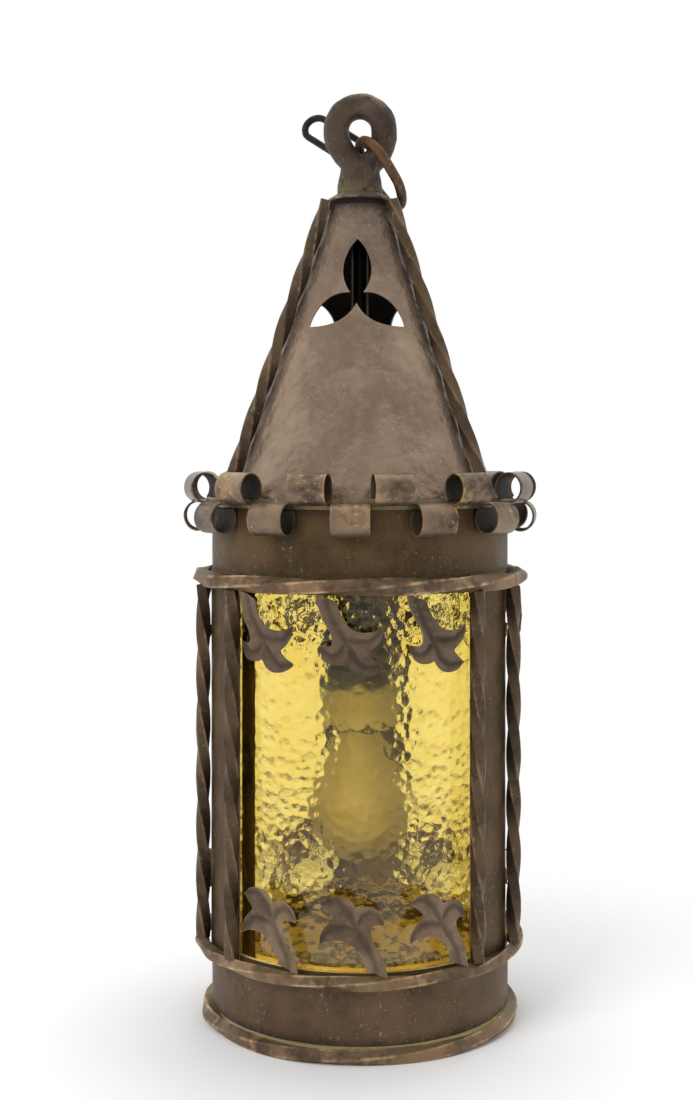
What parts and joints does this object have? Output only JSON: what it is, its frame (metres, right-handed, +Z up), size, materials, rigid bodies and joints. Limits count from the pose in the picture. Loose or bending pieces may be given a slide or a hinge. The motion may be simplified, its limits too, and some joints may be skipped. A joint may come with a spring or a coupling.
{
  "type": "pendant lantern",
  "caption": "Cylindrical hanging lantern with twisted-bar frame, leaf ornaments, curved amber panes, rolled-tab eave and pierced conical roof under a forged eye.",
  "frame": {"origin": "on the floor plane in the middle of the foot ring, where the lantern stands", "axes": "+Z up the lantern's axis to the hanging eye, -Y out of the front window, +X to the viewer's right"},
  "size_m": [0.2104, 0.2094, 0.5466],
  "materials": {
    "patinated_copper": "hammered copper sheet and bar with a brown patina, worn to bright copper on edges",
    "wrought_eye": "forged, brown patina",
    "black_iron": "black forged iron",
    "amber_glass": "bent amber glass, smooth outside and rippled inside",
    "brass_fittings": "dull brass",
    "holder_shell": "dark bakelite",
    "holder_insert": "glazed porcelain",
    "bulb_glass": "frosted"
  },
  "bodies": {
    "lantern": {"foot_ring": "patinated_copper", "base_band": "patinated_copper", "sill_ring": "patinated_copper", "lower_ring": "patinated_copper", "lower_leaf_1": "patinated_copper", "lower_leaf_2": "patinated_copper", "lower_leaf_3": "patinated_copper", "lower_leaf_4": "patinated_copper", "lower_leaf_5": "patinated_copper", "lower_leaf_6": "patinated_copper", "lower_leaf_7": "patinated_copper", "lower_leaf_8": "patinated_copper", "lower_leaf_9": "patinated_copper", "post_1": "patinated_copper", "post_2": "patinated_copper", "post_3": "patinated_copper", "window_bar_1": "patinated_copper", "window_bar_2": "patinated_copper", "window_bar_3": "patinated_copper", "window_bar_4": "patinated_copper", "window_bar_5": "patinated_copper", "window_bar_6": "patinated_copper", "glass_pane_1": "amber_glass", "glass_pane_2": "amber_glass", "glass_pane_3": "amber_glass", "pane_channel_1": "patinated_copper", "pane_channel_2": "patinated_copper", "pane_channel_3": "patinated_copper", "upper_leaf_1": "patinated_copper", "upper_leaf_2": "patinated_copper", "upper_leaf_3": "patinated_copper", "upper_leaf_4": "patinated_copper", "upper_leaf_5": "patinated_copper", "upper_leaf_6": "patinated_copper", "upper_leaf_7": "patinated_copper", "upper_leaf_8": "patinated_copper", "upper_leaf_9": "patinated_copper", "upper_ring": "patinated_copper", "drum_band": "patinated_copper", "curl_flange": "patinated_copper", "roof_cone": "patinated_copper", "roof_bar_1": "patinated_copper", "roof_bar_2": "patinated_copper", "roof_bar_3": "patinated_copper", "roof_cap": "patinated_copper", "hanging_eye": "wrought_eye", "cap_nut": "brass_fittings", "lamp_pipe": "brass_fittings", "holder_nut": "brass_fittings", "holder_cap": "holder_shell", "lamp_holder": "holder_shell", "holder_insert": "holder_insert", "contact_tongue": "brass_fittings"},
    "hanging_link": {"hanging_link": "wrought_eye"},
    "chain_link": {"chain_link": "black_iron"},
    "bulb": {"bulb": "bulb_glass", "bulb_cap": "brass_fittings"}
  },
  "joints": [
    {"name": "hanging_link_swing", "type": "hinge", "parent": "lantern", "child": "hanging_link", "pos_m": [0.001, 0, 0.5184], "axis": [0, -1, 0], "range_deg": [0, 149]},
    {"name": "chain_link_swing", "type": "hinge", "parent": "hanging_link", "child": "chain_link", "pos_m": [-0.0004, 0.01213, 0.51258], "axis": [0, -1, 0], "range_deg": [-55, 0]},
    {"name": "bulb_unscrew", "type": "slide", "parent": "lantern", "child": "bulb", "axis": [0, 0, -1], "range_m": [0, 0.03]}
  ]
}
